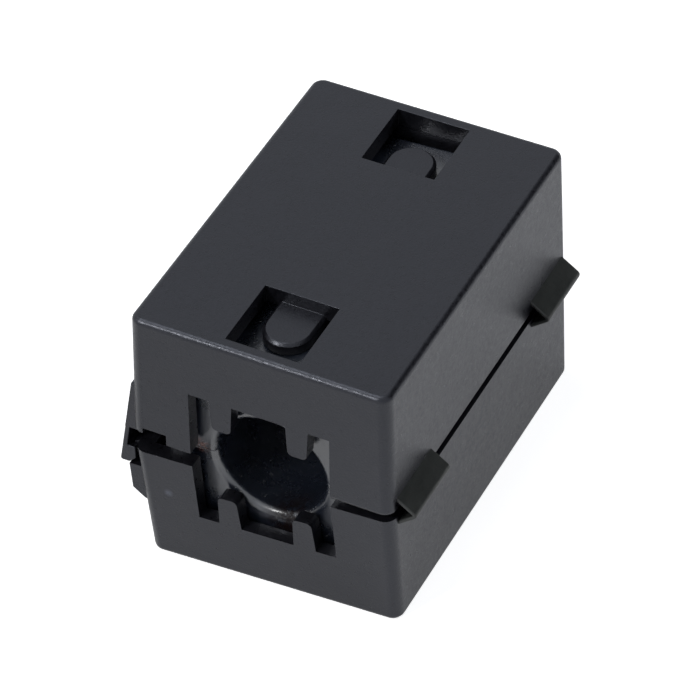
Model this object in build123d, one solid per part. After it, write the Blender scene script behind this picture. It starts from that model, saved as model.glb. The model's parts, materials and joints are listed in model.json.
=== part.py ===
from build123d import *
import os
from math import cos, radians, sin, tan

# A clip-on ferrite: two half cores in a moulded snap case whose lid rests slightly ajar.
# Millimetres. The origin is the middle of the cable bore, +Y runs along the bore,
# +Z is up and +X points at the hinge side. The cores meet in the plane Z = 0.

# Case
CASE_WIDTH = 22.1
CASE_LENGTH = 32.0
LID_ROOF = 1.6            # from the upper core to the lid's outer face
BASE_FLOOR = 1.1          # from the lower core to the base's outer face
LID_RIM = -0.2            # lid's rim, with the lid shut
BASE_RIM = 0.45           # base's rim, measured downwards from the joint plane
LID_AJAR = 3.3            # how far the lid stands open as it rests, in degrees
DRAFT = 1.3               # mould draft of the outer walls, in degrees
SIDE_WALL = 1.3
END_WALL = 1.3
CORNER_RADIUS = 1.0       # upright corners
FACE_RADIUS = 0.5         # edges round the lid's top and the base's bottom
RIM_RADIUS = 0.55         # lid's rim along the hinge side
EMBED = 0.3               # how far a form on a wall reaches into it
OVERSHOOT = 1.0           # how far a cut runs on past the surface it opens

# Half cores
CORE_SIDE_GAP = 0.75      # between a core's side and the case's side wall
CORE_HEIGHT = 10.1
CORE_END_GAP = 0.4        # between a core's end and the case's end wall
CORE_CORNER = 1.0
CORE_CHAMFER = 0.25
BORE_RADIUS = 4.55
BORE_LIP_RADIUS = 0.65    # rounding of the bore's mouth

# Toothed cable mouths in the end walls
MOUTH_WIDTH = 11.8
MOUTH_HEIGHT = 5.9        # from the joint plane to the mouth's far edge
TOOTH_SPACING = 6.4
TOOTH_LENGTH = 2.8
TOOTH_ROOT = 1.9
TOOTH_TIP = 1.6
TOOTH_ROUNDING = 0.45

# Windows with spring fingers that press on the cores
WINDOW_WIDTH = 6.2
WINDOW_LENGTH = 6.5
WINDOW_END_GAP = 1.35     # between a window and the case's end
FINGER_WIDTH = 4.0
FINGER_LENGTH = 4.3
FINGER_THICKNESS = 1.0
FINGER_ROOT = 1.2         # how far the finger runs on under the wall
FINGER_BEVEL = 0.25
FINGER_CLEARANCE = 0.04

# Pads inside the side walls that keep the cores in the middle
PAD_LENGTH = 4.0
PAD_STATION = 5.5
PAD_HEIGHT = 1.4
PAD_SETBACK = 0.3         # between the rim and a pad
PAD_CLEARANCE = 0.15

# Hinge straps
STRAP_LENGTH = 6.0
STRAP_END_GAP = 1.0       # between a strap and the case's end
STRAP_REACH = 1.55        # how far a strap stands out from the wall
STRAP_THICKNESS = 0.35
STRAP_SLOPE = 35.0        # how steeply a strap's two arms close on each other, in degrees
STRAP_FOLD = 0.05         # inner radius of the fold where the arms meet
HINGE_HEIGHT = 0.0        # hinge line, measured from the joint plane
STRAP_LAP = 0.05          # how far a strap's two arms run past each other's middle

# Latches
LATCH_LENGTH = 6.2
LATCH_END_GAP = 0.6       # between a latch and the case's end
LATCH_TOP = 4.6           # where the latch starts on the lid's wall, lid shut
LATCH_STEP = 0.15         # how far the latch stands out from the wall there
LATCH_BOTTOM = -4.0       # tongue's lower edge, lid shut
LATCH_REACH = 1.5         # how far the tongue's lower edge stands out from the case
LATCH_SKIN = 0.4          # thickness of the tongue where it flexes
LATCH_EDGE = 0.8          # thickness of the tongue's lower edge
LATCH_EDGE_ROUNDING = 0.2
BARB_DEPTH = 0.6
BARB_HEIGHT = 1.15
BARB_LEAD = 0.6
RELIEF_SETBACK = 1.05     # between the case's side and the notch in the lid's rim
RELIEF_WIDTH = 2.0
RELIEF_HEIGHT = 1.0
RELIEF_STEP = 0.5         # how far the rim is raised between the notch and the case's side

# Catches and guards on the base's wall
CATCH_CLEARANCE = 0.1     # between a barb and the ledge above it
CATCH_REACH = 0.45
CATCH_LIP = 0.1
CATCH_LENGTH = 5.2
GUARD_CLEARANCE = 0.12    # between a tongue's lower edge and the guard below it
GUARD_TOP_REACH = 0.9
GUARD_FOOT_REACH = 0.87
GUARD_HEIGHT = 2.5        # from the guard's top to its foot
GUARD_TAPER = 0.85        # from its foot to where it dies into the wall

LID_TOP = CORE_HEIGHT + LID_ROOF
BASE_BOTTOM = CORE_HEIGHT + BASE_FLOOR
HINGE_X = CASE_WIDTH / 2 + STRAP_REACH - STRAP_THICKNESS / 2
CORE_WIDTH = CASE_WIDTH - 2 * (SIDE_WALL + CORE_SIDE_GAP)
CORE_LENGTH = CASE_LENGTH - 2 * (END_WALL + CORE_END_GAP)
WINDOW_START = CASE_LENGTH / 2 - WINDOW_END_GAP - WINDOW_LENGTH
STRAP_STATION = CASE_LENGTH / 2 - STRAP_END_GAP - STRAP_LENGTH / 2
LATCH_STATION = CASE_LENGTH / 2 - LATCH_END_GAP - LATCH_LENGTH / 2
MID_WALL_X = (CASE_WIDTH - SIDE_WALL) / 2
BARB_TOP = LATCH_BOTTOM + BARB_LEAD + BARB_HEIGHT
ENDS = {"front": -1, "rear": 1}


def swing(shape, degrees):
    """Turn a shape about the hinge line; a positive angle opens the lid."""
    hinge = Pos(HINGE_X, 0, HINGE_HEIGHT)
    return hinge * Rot(0, degrees, 0) * hinge.inverse() * shape


def height_ajar(x, height):
    """Height of a point of the lid when the lid is ajar, from its place on the shut lid."""
    lean = radians(LID_AJAR)
    return HINGE_HEIGHT + (HINGE_X - x) * sin(lean) + (height - HINGE_HEIGHT) * cos(lean)


def wall_x(height, rim):
    """Half width of the case at a height above its joint plane, where the wall is drafted."""
    return CASE_WIDTH / 2 - (height - rim) * tan(radians(DRAFT))


def across(points, length, station):
    """A solid with the given outline in X and Z, running along Y round a station."""
    outline = Plane.XZ * Polygon(*points, align=None)
    return Pos(0, station, 0) * extrude(outline, amount=length / 2, both=True)


def span(low, high):
    """A box between two corners."""
    size = [b - a for a, b in zip(low, high)]
    return Pos(*low) * Box(*size, align=(Align.MIN, Align.MIN, Align.MIN))


def case_block(face, rim):
    """The outer form of a case half, from its rim to its face."""
    outline = Pos(0, 0, rim) * Rectangle(CASE_WIDTH, CASE_LENGTH)
    block = extrude(outline, amount=face - rim, taper=DRAFT)
    upright = block.edges().filter_by(lambda e: rim < e.center().Z < face)
    block = fillet(upright, CORNER_RADIUS)
    return fillet(block.edges().group_by(Axis.Z)[-1], FACE_RADIUS)


def mouth_tooth(side):
    """Outline of one tooth, hanging from the mouth's far edge towards the cable."""
    tip = MOUTH_HEIGHT - TOOTH_LENGTH
    middle = side * TOOTH_SPACING / 2
    outline = Polygon(
        (middle - TOOTH_ROOT / 2, MOUTH_HEIGHT),
        (middle - TOOTH_TIP / 2, tip),
        (middle + TOOTH_TIP / 2, tip),
        (middle + TOOTH_ROOT / 2, MOUTH_HEIGHT),
        align=None,
    )
    return fillet(outline.vertices().group_by(Axis.Y)[0], TOOTH_ROUNDING)


def mouth_cut(rim):
    """The space that both cable mouths take out of the end walls, less their teeth."""
    low = rim - OVERSHOOT
    height = MOUTH_HEIGHT - low
    outline = Pos(0, low + height / 2) * Rectangle(MOUTH_WIDTH, height)
    outline -= mouth_tooth(-1)
    outline -= mouth_tooth(1)
    return extrude(Plane.XZ * outline, amount=CASE_LENGTH, both=True)


def window_cut(end, face):
    """The window through a case half's face at one end."""
    middle = end * (WINDOW_START + WINDOW_LENGTH / 2)
    depth = 2 * (face - CORE_HEIGHT + OVERSHOOT)
    return Pos(0, middle, face) * Box(WINDOW_WIDTH, WINDOW_LENGTH, depth)


def spring_finger(end, inner):
    """A round-ended finger that reaches into a window, with its inner face on the core."""
    root = WINDOW_START - FINGER_ROOT
    tip_middle = WINDOW_START + FINGER_LENGTH - FINGER_WIDTH / 2
    straight = Pos(0, (root + tip_middle) / 2) * Rectangle(FINGER_WIDTH, tip_middle - root)
    outline = straight + Pos(0, tip_middle) * Circle(FINGER_WIDTH / 2)
    finger = extrude(Pos(0, 0, inner) * outline, amount=FINGER_THICKNESS)
    tip_edges = finger.edges().group_by(Axis.Z)[-1].filter_by(GeomType.CIRCLE)
    finger = chamfer(tip_edges, FINGER_BEVEL)
    return finger if end > 0 else mirror(finger, about=Plane.XZ)


def core_pads(rim):
    """Four pads inside the side walls, near the rim, that keep the core in the middle."""
    inner = CORE_WIDTH / 2 + PAD_CLEARANCE
    outer = CASE_WIDTH / 2 - SIDE_WALL
    slope = outer - inner
    low, high = rim + PAD_SETBACK, rim + PAD_HEIGHT
    outline = [(outer + EMBED, low), (inner, low), (inner, high - slope)]
    outline += [(outer, high), (outer + EMBED, high)]
    pads = []
    for end in ENDS.values():
        pad = across(outline, PAD_LENGTH, end * PAD_STATION)
        pads += [pad, mirror(pad, about=Plane.YZ)]
    return pads


def half_shell(face, rim, finger_inner):
    """What the two case halves have in common, open towards the joint plane."""
    shell = case_block(face, rim)
    half_width = CASE_WIDTH / 2 - SIDE_WALL
    half_length = CASE_LENGTH / 2 - END_WALL
    low = rim - OVERSHOOT
    shell -= span((-half_width, -half_length, low), (half_width, half_length, CORE_HEIGHT))
    shell -= mouth_cut(rim)
    for end in ENDS.values():
        shell -= window_cut(end, face)
        shell += spring_finger(end, finger_inner)
    for pad in core_pads(rim):
        shell += pad
    return shell


def finger_rest_height():
    """Where the lid's fingers meet the upper core, in the frame of the shut lid."""
    low_side = HINGE_X - FINGER_WIDTH / 2
    level = CORE_HEIGHT + FINGER_CLEARANCE - HINGE_HEIGHT
    lean = radians(LID_AJAR)
    return HINGE_HEIGHT + (level - low_side * sin(lean)) / cos(lean)


def latch_face_x(height):
    """The latch's outer face, which leans out from the lid's wall as it comes down."""
    top_x = wall_x(LATCH_TOP, LID_RIM) + LATCH_STEP
    bottom_x = CASE_WIDTH / 2 + LATCH_REACH
    share = (LATCH_TOP - height) / (LATCH_TOP - LATCH_BOTTOM)
    return -(top_x + share * (bottom_x - top_x))


def latch_inner_x():
    """The inner side of a tongue's lower edge, with the lid shut."""
    return latch_face_x(LATCH_BOTTOM) + LATCH_EDGE


def latch_root_block(end):
    """The wedge on the lid's wall that the latch tongue hangs from."""
    outline = [(-MID_WALL_X, LATCH_TOP), (latch_face_x(LATCH_TOP), LATCH_TOP)]
    outline += [(latch_face_x(LID_RIM), LID_RIM), (-MID_WALL_X, LID_RIM)]
    return across(outline, LATCH_LENGTH, end * LATCH_STATION)


def latch_relief(end):
    """The notch in the lid's rim at the latch side's corner, and the raised rim beside it."""
    low_y, high_y = sorted((end * (CASE_LENGTH / 2 - END_WALL), end * (CASE_LENGTH / 2 + OVERSHOOT)))
    side = -CASE_WIDTH / 2
    edge = side + RELIEF_SETBACK
    below = LID_RIM - OVERSHOOT
    step = span((side - OVERSHOOT, low_y, below), (edge, high_y, LID_RIM + RELIEF_STEP))
    notch = span((edge, low_y, below), (edge + RELIEF_WIDTH, high_y, LID_RIM + RELIEF_HEIGHT))
    return step + notch


def upper_shell():
    shell = half_shell(LID_TOP, LID_RIM, finger_rest_height())
    hinge_rim = shell.edges().filter_by(Axis.Y).group_by(Axis.Z)[0].group_by(Axis.X)[-1]
    shell = fillet(hinge_rim, RIM_RADIUS)
    for end in ENDS.values():
        shell -= latch_relief(end)
        shell += latch_root_block(end)
    return swing(shell, LID_AJAR)


def latch_catch(end):
    """The wedge on the base's wall that a latch's barb hooks under."""
    wall = -CASE_WIDTH / 2
    tip = wall - CATCH_REACH
    ledge = height_ajar(latch_inner_x(), BARB_TOP) + CATCH_CLEARANCE
    outline = [(-MID_WALL_X, -BASE_RIM), (wall, -BASE_RIM), (tip, ledge + CATCH_LIP)]
    outline += [(tip, ledge), (-MID_WALL_X, ledge)]
    return across(outline, CATCH_LENGTH, end * LATCH_STATION)


def latch_guard(end):
    """The block below a latch that keeps it from being knocked open."""
    wall = -CASE_WIDTH / 2
    top = height_ajar(latch_inner_x(), LATCH_BOTTOM) - GUARD_CLEARANCE
    foot = top - GUARD_HEIGHT
    end_height = foot - GUARD_TAPER
    outline = [(-MID_WALL_X, top), (wall - GUARD_TOP_REACH, top), (wall - GUARD_FOOT_REACH, foot)]
    outline += [(-wall_x(-end_height, BASE_RIM), end_height), (-MID_WALL_X, end_height)]
    return across(outline, LATCH_LENGTH, end * LATCH_STATION)


def lower_shell():
    shell = mirror(half_shell(BASE_BOTTOM, BASE_RIM, CORE_HEIGHT), about=Plane.XY)
    for end in ENDS.values():
        shell += latch_catch(end)
        shell += latch_guard(end)
    return shell


def half_core():
    """One half core, above the joint plane, with its half of the bore."""
    outline = Pos(0, CORE_HEIGHT / 2) * Rectangle(CORE_WIDTH, CORE_HEIGHT)
    outline = fillet(outline.vertices().group_by(Axis.Y)[-1], CORE_CORNER)
    core = extrude(Plane.XZ * outline, amount=CORE_LENGTH / 2, both=True)
    outer_edges = core.edges().filter_by(Plane.XZ)
    core = chamfer(outer_edges.filter_by(lambda e: e.center().Z > BORE_RADIUS / 2), CORE_CHAMFER)
    core -= Rot(90, 0, 0) * Cylinder(BORE_RADIUS, CORE_LENGTH + 1)
    mouths = core.edges().filter_by(GeomType.CIRCLE).filter_by(
        lambda e: abs(e.radius - BORE_RADIUS) < 0.01
    )
    return fillet(mouths, BORE_LIP_RADIUS)


def fold_outline(inset):
    """A folded strap's outer outline from the side, or one that lies inside it by an inset."""
    slope = radians(STRAP_SLOPE)
    fold = STRAP_FOLD + STRAP_THICKNESS - inset
    apex = STRAP_REACH - inset + fold * (1 / sin(slope) - 1)
    half_height = (apex + SIDE_WALL) * tan(slope)
    outline = Polygon(
        (apex, 0), (-SIDE_WALL, half_height), (-SIDE_WALL, -half_height), align=None
    )
    return fillet(outline.vertices().sort_by(Axis.X)[-1], fold)


def hinge_strap(station):
    """A thin folded strap: its foot is on the base's wall and its head on the lid's."""
    outline = fold_outline(0) - fold_outline(STRAP_THICKNESS)
    place = Pos(CASE_WIDTH / 2, station, HINGE_HEIGHT)
    loop = place * extrude(Plane.XZ * outline, amount=STRAP_LENGTH / 2, both=True)
    near, far = station - STRAP_LENGTH, station + STRAP_LENGTH
    right = CASE_WIDTH / 2 + STRAP_REACH + OVERSHOOT
    lap = HINGE_HEIGHT + STRAP_LAP
    below = span((MID_WALL_X, near, -BASE_BOTTOM), (right, far, lap))
    above = span((MID_WALL_X, near, HINGE_HEIGHT), (right, far, LID_TOP))
    base_block = mirror(case_block(BASE_BOTTOM, BASE_RIM), about=Plane.XY)
    strap = (loop & below) - base_block
    strap += swing((loop & above) - case_block(LID_TOP, LID_RIM), LID_AJAR)
    return strap


def latch_tongue(end):
    """The flexing end of a latch, with the barb that hooks under its catch."""
    inner_x = latch_inner_x()
    barb_x = inner_x + BARB_DEPTH
    outline = [
        (latch_face_x(LID_RIM) + LATCH_SKIN, LID_RIM),
        (latch_face_x(LID_RIM), LID_RIM),
        (latch_face_x(LATCH_BOTTOM), LATCH_BOTTOM),
        (inner_x, LATCH_BOTTOM),
        (barb_x, LATCH_BOTTOM + BARB_LEAD),
        (barb_x, BARB_TOP),
        (latch_face_x(BARB_TOP) + LATCH_SKIN, BARB_TOP),
    ]
    tongue = across(outline, LATCH_LENGTH, end * LATCH_STATION)
    lower_edge = tongue.edges().filter_by(Axis.Y).sort_by(Axis.X)[0]
    return swing(fillet(lower_edge, LATCH_EDGE_ROUNDING), LID_AJAR)


def make_parts():
    core = half_core()
    parts = {
        "lower_shell": lower_shell(),
        "upper_shell": upper_shell(),
        "lower_core": mirror(core, about=Plane.XY),
        "upper_core": core,
    }
    for name, end in ENDS.items():
        parts[f"{name}_hinge_strap"] = hinge_strap(end * STRAP_STATION)
        parts[f"{name}_latch"] = latch_tongue(end)
    return parts


os.makedirs("parts", exist_ok=True)
for part_name, solid in make_parts().items():
    export_step(solid, f"parts/{part_name}.step")
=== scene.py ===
import json
import math

import bmesh
import bpy
from mathutils import Matrix, Vector

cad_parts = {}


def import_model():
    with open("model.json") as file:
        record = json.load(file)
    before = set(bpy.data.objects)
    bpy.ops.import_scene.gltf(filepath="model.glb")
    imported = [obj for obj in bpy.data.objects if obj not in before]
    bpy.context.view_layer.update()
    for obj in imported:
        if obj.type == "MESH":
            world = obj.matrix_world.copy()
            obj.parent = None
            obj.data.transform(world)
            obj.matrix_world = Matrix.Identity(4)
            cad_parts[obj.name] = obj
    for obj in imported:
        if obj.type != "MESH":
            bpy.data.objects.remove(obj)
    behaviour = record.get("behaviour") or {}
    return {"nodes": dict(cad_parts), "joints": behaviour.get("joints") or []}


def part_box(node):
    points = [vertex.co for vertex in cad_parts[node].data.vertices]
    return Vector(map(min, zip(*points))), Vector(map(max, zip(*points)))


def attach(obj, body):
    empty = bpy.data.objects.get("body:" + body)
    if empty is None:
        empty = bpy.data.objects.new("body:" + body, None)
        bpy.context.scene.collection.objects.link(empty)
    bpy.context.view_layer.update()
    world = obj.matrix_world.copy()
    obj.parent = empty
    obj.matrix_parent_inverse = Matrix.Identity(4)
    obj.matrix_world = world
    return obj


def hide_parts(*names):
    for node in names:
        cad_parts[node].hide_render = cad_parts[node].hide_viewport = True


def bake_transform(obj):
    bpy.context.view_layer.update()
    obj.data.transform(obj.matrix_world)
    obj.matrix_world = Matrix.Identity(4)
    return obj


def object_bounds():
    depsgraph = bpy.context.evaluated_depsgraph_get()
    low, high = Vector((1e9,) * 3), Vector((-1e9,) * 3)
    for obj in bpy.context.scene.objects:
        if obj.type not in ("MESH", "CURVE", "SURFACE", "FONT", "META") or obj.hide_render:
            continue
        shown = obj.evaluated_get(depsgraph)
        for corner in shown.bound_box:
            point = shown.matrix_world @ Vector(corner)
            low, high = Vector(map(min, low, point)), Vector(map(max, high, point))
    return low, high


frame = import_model()
cad_box = [list(corner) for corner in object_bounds()]
joints = {joint["name"]: joint for joint in frame["joints"]}
LID_AJAR = math.pi - math.radians(joints["lid_hinge"]["range_deg"][1])

MM = 0.001

# Where the camera stands, in degrees and millimetres
CAMERA_AZIMUTH = 29.96
CAMERA_ELEVATION = 41.37
CAMERA_ROLL = -5.38
CAMERA_ACROSS = -0.32
CAMERA_UP = 0.11
CAMERA_DISTANCE = 323.89
FOCAL_PIXELS = 4155.12
FRAME_PIXELS = 700
SENSOR_WIDTH = 36.0

# Softening of moulded and ground edges
CASE_EDGE = 0.10 * MM
CORE_EDGE = 0.16 * MM
EDGE_STEPS = 3
JOINT_SHARE = 0.3               # how much of that the ground edges of the cores' joint get
SHARP = math.radians(28)        # edges turning more than this are rounded
FLAT = math.radians(0.4)        # faces turning less than this are merged
MERGE = 0.0005 * MM             # points closer than this become one
SAME = 0.005 * MM               # within this, two places count as one

# Hinge straps, as one sheet of nylon bent round from the base's wall to the lid's
STRAP_THICKNESS = 0.35 * MM
STRAP_SLOPE = math.radians(35)  # how steeply the two arms close on each other
STRAP_FOLD = 0.05 * MM          # inner radius of the fold where they meet
STRAP_ROOT = 0.5 * MM           # how far the arms run into the walls
STRAP_EDGE = 0.12 * MM          # rounding of the sheet's own edges
FOLD_STEPS = 17
STRAP_STEPS = 97
EDGE_TURNS = 4                  # points along each rounded corner of the sheet's section

# Marks of use, and one patch of painted shade, as points on the object
STAIN_PLACE = Vector((-5.9, -14.5, 0.35)) * MM
STAIN_SIZE = 0.9 * MM
# Painted shade: a dark, less glossy patch on the near bore's lower lip, where the lip lies in shadow
SHADE_PATCH_PLACE = Vector((1.4, -14.0, -5.4)) * MM
SHADE_PATCH_SIZE = 3.0 * MM
SCUFF_PLACE = Vector((-8.4, -16.0, -4.2)) * MM
SCUFF_SIZE = 0.45 * MM
SPOT_CORE = 0.3                 # share of a mark's radius that it fills before it fades

# Floor and light
FLOOR_REACH = 1.5
FLOOR_GAP = 0.03 * MM           # keeps the floor off the case's bottom
FLOOR_TONE = 0.90
FLOOR_SEEN, FLOOR_GLOSS = 0.74, 0.34
LAMP_DISTANCE = 0.7
SOFT_BOX = (0.30, 0.30)
SMALL_BOX = (0.14, 0.10)
COOL = (0.92, 0.95, 1.0)
FILL = 0.02                     # the room's own light on the object
GLOSS_LIGHT, GLOSS_DARK = 0.82, 0.06
DARK_CORNER = Vector((0.58, 0.65, 0.48))
DARK_SPREAD = (0.70, 0.93)      # closeness to that corner at which it begins, and is full


# Nodes

class Tree:
    """Short ways to add and join nodes."""

    def add(self, kind, inputs=None, **settings):
        node = self.nodes.new(kind)
        for key, value in settings.items():
            setattr(node, key, value)
        for key, value in (inputs or {}).items():
            self.feed(node.inputs[key], value)
        return node

    def feed(self, socket, value):
        if isinstance(value, bpy.types.NodeSocket):
            self.links.new(value, socket)
        else:
            socket.default_value = value

    def math(self, operation, first, second=0.0):
        return self.add("ShaderNodeMath", {0: first, 1: second}, operation=operation).outputs[0]


class Shader(Tree):
    """A material's node tree."""

    def __init__(self, name):
        self.material = bpy.data.materials.new(name)
        self.material.use_nodes = True
        self.nodes = self.material.node_tree.nodes
        self.links = self.material.node_tree.links
        self.nodes.clear()
        self.output = self.add("ShaderNodeOutputMaterial")
        self.place = self.add("ShaderNodeTexCoord").outputs["Object"]

    def noise(self, size, detail=2.0, roughness=0.5, stretch=None):
        """Noise whose features are about size metres across, from 0 to 1."""
        where = self.place
        if stretch:
            where = self.add("ShaderNodeMapping", {"Vector": where, "Scale": stretch}).outputs[0]
        node = self.add(
            "ShaderNodeTexNoise",
            {"Vector": where, "Scale": 1 / size, "Detail": detail, "Roughness": roughness},
        )
        return node.outputs["Fac"]

    def span(self, value, low, high, to_low=0.0, to_high=1.0):
        node = self.add("ShaderNodeMapRange", {0: value, 1: low, 2: high, 3: to_low, 4: to_high})
        return node.outputs[0]

    def spot(self, middle, radius):
        """1 at a point of the object, fading to 0 at a radius round it."""
        away = self.add(
            "ShaderNodeVectorMath", {0: self.place, 1: middle}, operation="DISTANCE"
        ).outputs["Value"]
        return self.span(away, radius, SPOT_CORE * radius)

    def blend(self, share, first, second):
        node = self.add("ShaderNodeMix", data_type="RGBA")
        self.feed(node.inputs["Factor"], share)
        self.feed(node.inputs["A"], first)
        self.feed(node.inputs["B"], second)
        return node.outputs["Result"]

    def bump(self, height, distance, strength=1.0, normal=None):
        node = self.add(
            "ShaderNodeBump", {"Height": height, "Distance": distance, "Strength": strength}
        )
        if normal is not None:
            self.feed(node.inputs["Normal"], normal)
        return node.outputs[0]

    def surface(self, **inputs):
        names = {key.replace("_", " "): value for key, value in inputs.items()}
        shader = self.add("ShaderNodeBsdfPrincipled", names)
        self.links.new(shader.outputs[0], self.output.inputs["Surface"])
        return self.material


class Form(Tree):
    """A Geometry Nodes tree with named inputs for its sizes."""

    def __init__(self, name, **inputs):
        self.tree = bpy.data.node_groups.new(name, "GeometryNodeTree")
        self.nodes, self.links = self.tree.nodes, self.tree.links
        self.sockets = {}
        for title, value in inputs.items():
            kind = "NodeSocketVector" if isinstance(value, Vector) else "NodeSocketFloat"
            socket = self.tree.interface.new_socket(title, in_out="INPUT", socket_type=kind)
            self.sockets[title] = (socket.identifier, value)
        self.tree.interface.new_socket(
            "Geometry", in_out="OUTPUT", socket_type="NodeSocketGeometry"
        )
        self.inputs = self.nodes.new("NodeGroupInput").outputs

    def vector(self, x=0.0, y=0.0, z=0.0):
        return self.add("ShaderNodeCombineXYZ", {0: x, 1: y, 2: z}).outputs[0]

    def made(self, name, geometry, material):
        """The tree's result as a plain mesh piece."""
        real = self.add("GeometryNodeRealizeInstances", {0: geometry}).outputs[0]
        dressed = self.add("GeometryNodeSetMaterial", {"Geometry": real, "Material": material})
        end = self.nodes.new("NodeGroupOutput")
        self.links.new(dressed.outputs[0], end.inputs[0])
        source = bpy.data.objects.new(name + "_form", bpy.data.meshes.new(name + "_form"))
        bpy.context.scene.collection.objects.link(source)
        modifier = source.modifiers.new("form", "NODES")
        modifier.node_group = self.tree
        for identifier, value in self.sockets.values():
            modifier[identifier] = value
        graph = bpy.context.evaluated_depsgraph_get()
        mesh = bpy.data.meshes.new_from_object(source.evaluated_get(graph), depsgraph=graph)
        source.modifiers.remove(modifier)
        bpy.data.objects.remove(source)
        mesh.name = name
        return mesh_piece(name, mesh, material)


# Finishes

def moulded_nylon():
    """Black nylon with the fine spark-eroded grain of its mould, and a few pale scuffs."""
    s = Shader("black_moulded_nylon")
    grain = s.noise(0.16 * MM, 3.0, 0.6)
    flow = s.noise(5 * MM, 3.0, 0.55)
    scuffs = s.span(s.noise(1.1 * MM, 4.0, 0.7), 0.70, 0.80)
    fleck = s.span(s.noise(0.45 * MM, 3.0, 0.65), 0.30, 0.70)
    tone = s.blend(fleck, (0.003, 0.003, 0.004, 1), (0.009, 0.009, 0.012, 1))
    tone = s.blend(s.math("MULTIPLY", flow, 0.6), tone, (0.007, 0.007, 0.009, 1))
    tone = s.blend(s.math("MULTIPLY", scuffs, 0.4), tone, (0.055, 0.058, 0.07, 1))
    rubbed = s.math("MULTIPLY", s.spot(SCUFF_PLACE, SCUFF_SIZE), s.noise(0.3 * MM, 2.0))
    tone = s.blend(rubbed, tone, (0.11, 0.12, 0.16, 1))
    roughness = s.span(s.math("ADD", grain, fleck), 0.5, 1.5, 0.26, 0.40)
    wavy = s.bump(s.noise(3.5 * MM, 1.0), 0.04 * MM)
    normal = s.bump(grain, 0.020 * MM, 1.0, wavy)
    return s.surface(
        Base_Color=tone, Roughness=roughness, Normal=normal, IOR=1.52,
        Specular_Tint=(0.86, 0.89, 1.0, 1),
    )


def strap_nylon():
    """The same nylon where it is thin: duller, mottled, and drawn along the strap."""
    s = Shader("thin_nylon_strap")
    drawn = s.noise(0.5 * MM, 3.0, 0.6, stretch=(1, 0.4, 1))
    tone = s.blend(drawn, (0.006, 0.007, 0.006, 1), (0.024, 0.026, 0.024, 1))
    roughness = s.span(drawn, 0.3, 0.7, 0.40, 0.52)
    normal = s.bump(s.noise(0.35 * MM, 2.0), 0.025 * MM)
    return s.surface(Base_Color=tone, Roughness=roughness, Normal=normal, IOR=1.48)


def ferrite():
    """Sintered ferrite: a blue-grey ceramic with pores and a ground, slightly glossy skin."""
    s = Shader("sintered_ferrite")
    cloud = s.noise(2.5 * MM, 4.0, 0.6)
    pores = s.span(s.noise(0.22 * MM, 2.0, 0.5), 0.66, 0.74)
    tone = s.blend(cloud, (0.009, 0.012, 0.019, 1), (0.015, 0.019, 0.030, 1))
    tone = s.blend(s.math("MULTIPLY", pores, 0.5), tone, (0.008, 0.008, 0.011, 1))
    rusty = s.math(
        "MULTIPLY", s.spot(STAIN_PLACE, STAIN_SIZE), s.span(s.noise(0.4 * MM), 0.3, 0.6)
    )
    tone = s.blend(rusty, tone, (0.16, 0.055, 0.03, 1))
    # Painted shade on the near bore's lower lip: a mottled patch made darker and less glossy,
    # standing in for the shadow there
    shade_mottle = s.span(s.noise(0.5 * MM, 4.0, 0.7), 0.36, 0.52)
    painted_shade = s.math("MULTIPLY", s.spot(SHADE_PATCH_PLACE, SHADE_PATCH_SIZE), shade_mottle)
    tone = s.blend(painted_shade, tone, (0.010, 0.006, 0.006, 1))
    roughness = s.span(cloud, 0.3, 0.7, 0.22, 0.34)
    gloss = s.span(painted_shade, 0.0, 1.0, 0.5, 0.08)
    normal = s.bump(s.noise(0.3 * MM, 3.0, 0.6), 0.010 * MM)
    normal = s.bump(pores, -0.02 * MM, 1.0, normal)
    return s.surface(
        Base_Color=tone, Roughness=roughness, Normal=normal, IOR=2.05, Specular_IOR_Level=gloss
    )


def white_floor():
    """A pale floor that also glows a little, so that it looks white; clear from underneath."""
    s = Shader("white_floor")
    diffuse = s.add("ShaderNodeBsdfDiffuse", {"Color": (FLOOR_TONE, FLOOR_TONE, FLOOR_TONE, 1)})
    path = s.add("ShaderNodeLightPath").outputs
    glow = s.math("MULTIPLY", path["Is Camera Ray"], FLOOR_SEEN)
    glow = s.math("ADD", glow, s.math("MULTIPLY", path["Is Glossy Ray"], FLOOR_GLOSS))
    light = s.add("ShaderNodeEmission", {"Color": (1, 1, 1, 1), "Strength": glow})
    both = s.add("ShaderNodeAddShader", {0: diffuse.outputs[0], 1: light.outputs[0]})
    beneath = s.add("ShaderNodeNewGeometry").outputs["Backfacing"]
    clear = s.add("ShaderNodeBsdfTransparent").outputs[0]
    shown = s.add("ShaderNodeMixShader", {0: beneath, 1: both.outputs[0], 2: clear})
    s.links.new(shown.outputs[0], s.output.inputs["Surface"])
    return s.material


NYLON = moulded_nylon()
STRAP_NYLON = strap_nylon()
FERRITE = ferrite()


# Pieces

def mesh_piece(name, mesh, material):
    piece = bpy.data.objects.new(name, mesh)
    bpy.context.scene.collection.objects.link(piece)
    mesh.materials.clear()
    mesh.materials.append(material)
    return piece


def latch_seams():
    """For each latch, a point on the line it bends at, that line's plane, and its two ends."""
    seams = []
    for end in ("front", "rear"):
        low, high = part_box(f"{end}_latch")
        middle = Vector(joints[f"{end}_latch_flex"]["pos_m"])
        upright = Vector((math.sin(LID_AJAR), 0, math.cos(LID_AJAR)))
        seams.append((middle, upright, low.y, high.y))
    return seams


def on_seam(edge, seams):
    """Whether an edge lies where a latch tongue grows out of the lid, which has no groove."""
    for middle, upright, low, high in seams:
        if all(
            abs((vertex.co - middle).dot(upright)) < SAME
            and low - SAME < vertex.co.y < high + SAME
            for vertex in edge.verts
        ):
            return True
    return False


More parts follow.
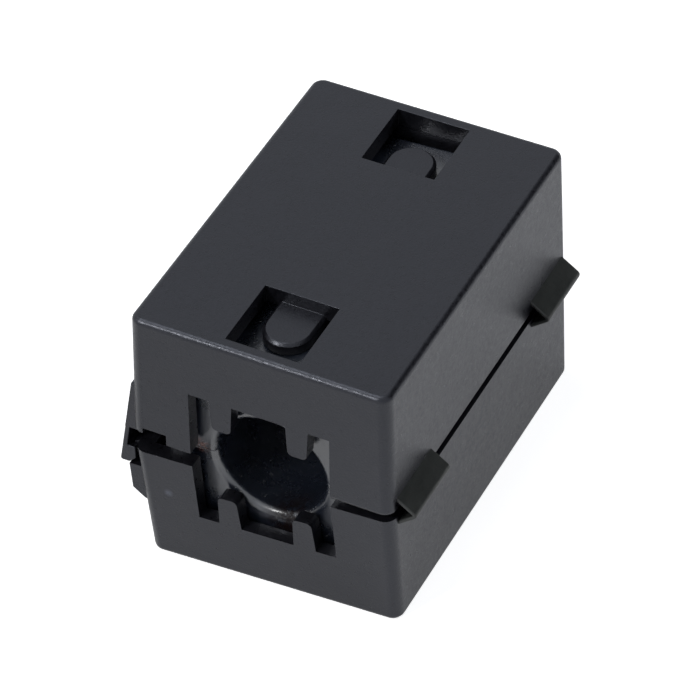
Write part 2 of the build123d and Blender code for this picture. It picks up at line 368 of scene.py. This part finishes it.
def softened(node, name, body, edge_size, material, seams=()):
    """A piece with a CAD node's shape whose sharp edges are rounded as moulding leaves them."""
    mesh = frame["nodes"][node].data.copy()
    form = bmesh.new()
    form.from_mesh(mesh)
    bmesh.ops.remove_doubles(form, verts=form.verts, dist=MERGE)
    bmesh.ops.dissolve_limit(
        form, angle_limit=FLAT, verts=form.verts, edges=form.edges, delimit=set()
    )
    weight = form.edges.layers.float.new("bevel_weight_edge")
    for face in form.faces:
        face.smooth = True
    for edge in form.edges:
        joined = on_seam(edge, seams)
        edge.smooth = not joined
        level = all(abs(vertex.co.z) < SAME for vertex in edge.verts)
        share = JOINT_SHARE if level else 1.0
        edge[weight] = share * float(edge.calc_face_angle(0) > SHARP and not joined)
    form.to_mesh(mesh)
    form.free()
    piece = mesh_piece(name, mesh, material)
    bevel = piece.modifiers.new("edges", "BEVEL")
    bevel.width = edge_size
    bevel.segments = EDGE_STEPS
    bevel.limit_method = "WEIGHT"
    bevel.use_clamp_overlap = True
    bevel.miter_outer = "MITER_ARC"
    shading = piece.modifiers.new("shading", "WEIGHTED_NORMAL")
    shading.keep_sharp = True
    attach(piece, body)
    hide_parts(node)


def living_hinge(end):
    """A thin sheet bent round from one wall to the other, swept along its own bend."""
    low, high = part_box(f"{end}_hinge_strap")
    axis = Vector(joints["lid_hinge"]["pos_m"])
    form = Form(
        "bent_sheet",
        Thickness=STRAP_THICKNESS,
        Width=high.y - low.y,
        Reach=axis.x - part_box("lower_shell")[1].x + STRAP_ROOT,
        Slope=STRAP_SLOPE,
        Fold=STRAP_FOLD + STRAP_THICKNESS / 2,
        Edge=STRAP_EDGE,
        Lean=LID_AJAR,
        Axis=Vector((axis.x, (low.y + high.y) / 2, axis.z)),
    )
    sizes = form.inputs
    turn = form.math("SUBTRACT", math.pi / 2, sizes["Slope"])
    arc = form.add(
        "GeometryNodeCurveArc",
        {"Resolution": FOLD_STEPS, "Radius": sizes["Fold"],
         "Start Angle": form.math("MULTIPLY", turn, -1.0),
         "Sweep Angle": form.math("MULTIPLY", turn, 2.0)},
    ).outputs[0]
    upright = form.add(
        "GeometryNodeTransform", {"Geometry": arc, "Rotation": (math.pi / 2, 0, 0)}
    ).outputs[0]
    folded = form.add(
        "GeometryNodeSetPosition",
        {"Geometry": upright, "Offset": form.vector(form.math("MULTIPLY", sizes["Fold"], -1.0))},
    ).outputs[0]
    place = form.add("GeometryNodeInputPosition").outputs[0]
    parts = form.add("ShaderNodeSeparateXYZ", {0: place}).outputs
    side = form.math("SIGN", parts[2])
    arm = form.math("ADD", parts[0], sizes["Reach"])
    rise = form.math("MULTIPLY", arm, form.math("TANGENT", sizes["Slope"]))
    rooted = form.add(
        "GeometryNodeSetPosition",
        {"Geometry": folded, "Selection": form.add("GeometryNodeCurveEndpointSelection").outputs[0],
         "Offset": form.vector(
             form.math("MULTIPLY", arm, -1.0), 0.0, form.math("MULTIPLY", side, rise))},
    ).outputs[0]
    even = form.add("GeometryNodeResampleCurve", {"Curve": rooted, "Count": STRAP_STEPS}).outputs[0]
    turned = form.add(
        "ShaderNodeVectorRotate",
        {"Vector": place, "Angle": form.math(
            "MULTIPLY", sizes["Lean"], form.math("MAXIMUM", side, 0.0))},
        rotation_type="Y_AXIS",
    ).outputs[0]
    leaned = form.add("GeometryNodeSetPosition", {"Geometry": even, "Position": turned}).outputs[0]
    placed = form.add(
        "GeometryNodeTransform", {"Geometry": leaned, "Translation": sizes["Axis"]}
    ).outputs[0]
    section = form.add(
        "GeometryNodeCurvePrimitiveQuadrilateral",
        {"Width": sizes["Width"], "Height": sizes["Thickness"]},
    ).outputs[0]
    rounded = form.add(
        "GeometryNodeFilletCurve",
        {"Curve": section, "Radius": sizes["Edge"], "Limit Radius": True, "Count": EDGE_TURNS},
        mode="POLY",
    ).outputs[0]
    sheet = form.add(
        "GeometryNodeCurveToMesh",
        {"Curve": placed, "Profile Curve": rounded, "Fill Caps": True},
    ).outputs[0]
    smooth = form.add("GeometryNodeSetShadeSmooth", {"Geometry": sheet}).outputs[0]
    piece = form.made(f"{end}_bent_strap", smooth, STRAP_NYLON)
    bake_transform(piece)
    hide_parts(f"{end}_hinge_strap")


SEAMS = latch_seams()
softened("lower_shell", "base_shell", "base", CASE_EDGE, NYLON)
softened("upper_shell", "lid_shell", "lid", CASE_EDGE, NYLON, SEAMS)
softened("lower_core", "lower_ferrite", "base", CORE_EDGE, FERRITE)
softened("upper_core", "upper_ferrite", "lid", CORE_EDGE, FERRITE)
for end in ("front", "rear"):
    softened(
        f"{end}_latch", f"{end}_tongue", f"{end}_latch", CASE_EDGE, NYLON, SEAMS
    )
    living_hinge(end)


# Floor, light and camera

def floor():
    low = min(corner[2] for corner in cad_box) - FLOOR_GAP
    corners = ((-1, -1), (1, -1), (1, 1), (-1, 1))
    mesh = bpy.data.meshes.new("floor")
    mesh.from_pydata(
        [(x * FLOOR_REACH, y * FLOOR_REACH, low) for x, y in corners], [], [(0, 1, 2, 3)]
    )
    mesh_piece("floor", mesh, white_floor())


def lamp(name, direction, size, watts, colour=(1, 1, 1), mirrored=True):
    """A soft box that faces the object from a direction. Gloss can leave it out."""
    data = bpy.data.lights.new(name, "AREA")
    data.shape = "RECTANGLE"
    data.size, data.size_y = size
    data.energy = watts
    data.color = colour
    light = bpy.data.objects.new(name, data)
    light.visible_glossy = mirrored
    bpy.context.scene.collection.objects.link(light)
    way = Vector(direction).normalized()
    light.location = way * LAMP_DISTANCE
    light.rotation_euler = way.to_track_quat("Z", "Y").to_euler()


def world():
    """A white room: plain to the camera, dimmer in gloss, with a darker corner on the hinge side."""
    settings = bpy.data.worlds.new("studio")
    bpy.context.scene.world = settings
    settings.use_nodes = True
    nodes, links = settings.node_tree.nodes, settings.node_tree.links
    nodes.clear()
    path = nodes.new("ShaderNodeLightPath").outputs
    way = nodes.new("ShaderNodeTexCoord").outputs["Generated"]
    toward = nodes.new("ShaderNodeVectorMath")
    toward.operation = "DOT_PRODUCT"
    links.new(way, toward.inputs[0])
    toward.inputs[1].default_value = DARK_CORNER.normalized()
    shade = nodes.new("ShaderNodeMapRange")
    links.new(toward.outputs["Value"], shade.inputs[0])
    for index, value in enumerate((*DARK_SPREAD, GLOSS_LIGHT, GLOSS_DARK), 1):
        shade.inputs[index].default_value = value

    def background(colour, strength):
        node = nodes.new("ShaderNodeBackground")
        node.inputs["Color"].default_value = colour
        if isinstance(strength, float):
            node.inputs["Strength"].default_value = strength
        else:
            links.new(strength, node.inputs["Strength"])
        return node.outputs[0]

    def either(share, first, second):
        node = nodes.new("ShaderNodeMixShader")
        for index, socket in enumerate((share, first, second)):
            links.new(socket, node.inputs[index])
        return node.outputs[0]

    fill = background((*COOL, 1), FILL)
    gloss = background((*COOL, 1), shade.outputs[0])
    seen = background((1, 1, 1, 1), 1.0)
    lit = either(path["Is Glossy Ray"], fill, gloss)
    output = nodes.new("ShaderNodeOutputWorld")
    links.new(either(path["Is Camera Ray"], lit, seen), output.inputs["Surface"])


def camera():
    azimuth, elevation, roll = map(
        math.radians, (CAMERA_AZIMUTH, CAMERA_ELEVATION, CAMERA_ROLL)
    )
    back = Vector(
        (
            math.sin(azimuth) * math.cos(elevation),
            -math.cos(azimuth) * math.cos(elevation),
            math.sin(elevation),
        )
    )
    level = (-back).cross(Vector((0, 0, 1))).normalized()
    upright = level.cross(-back)
    right = level * math.cos(roll) + upright * math.sin(roll)
    up = upright * math.cos(roll) - level * math.sin(roll)
    place = right * CAMERA_ACROSS + up * CAMERA_UP + back * CAMERA_DISTANCE
    data = bpy.data.cameras.new("camera")
    data.sensor_width = SENSOR_WIDTH
    data.lens = FOCAL_PIXELS / FRAME_PIXELS * SENSOR_WIDTH
    data.clip_start, data.clip_end = 0.01, 10
    view = bpy.data.objects.new("camera", data)
    bpy.context.scene.collection.objects.link(view)
    turn = Matrix((right, up, back)).transposed().to_4x4()
    view.matrix_world = Matrix.Translation(place * MM) @ turn
    bpy.context.scene.camera = view


floor()
lamp("soft_overhead", (-0.22, -0.03, 0.97), SOFT_BOX, 1.2, COOL)
lamp("soft_low_front", (0.05, -0.84, 0.54), SOFT_BOX, 0.5, COOL, mirrored=False)
lamp("soft_back_right", (0.60, 0.65, 0.45), SOFT_BOX, 2.4, COOL, mirrored=False)
lamp("soft_front", (-0.38, -0.66, 0.65), SMALL_BOX, 1.9)
world()
camera()
bpy.context.scene.view_settings.view_transform = "Standard"
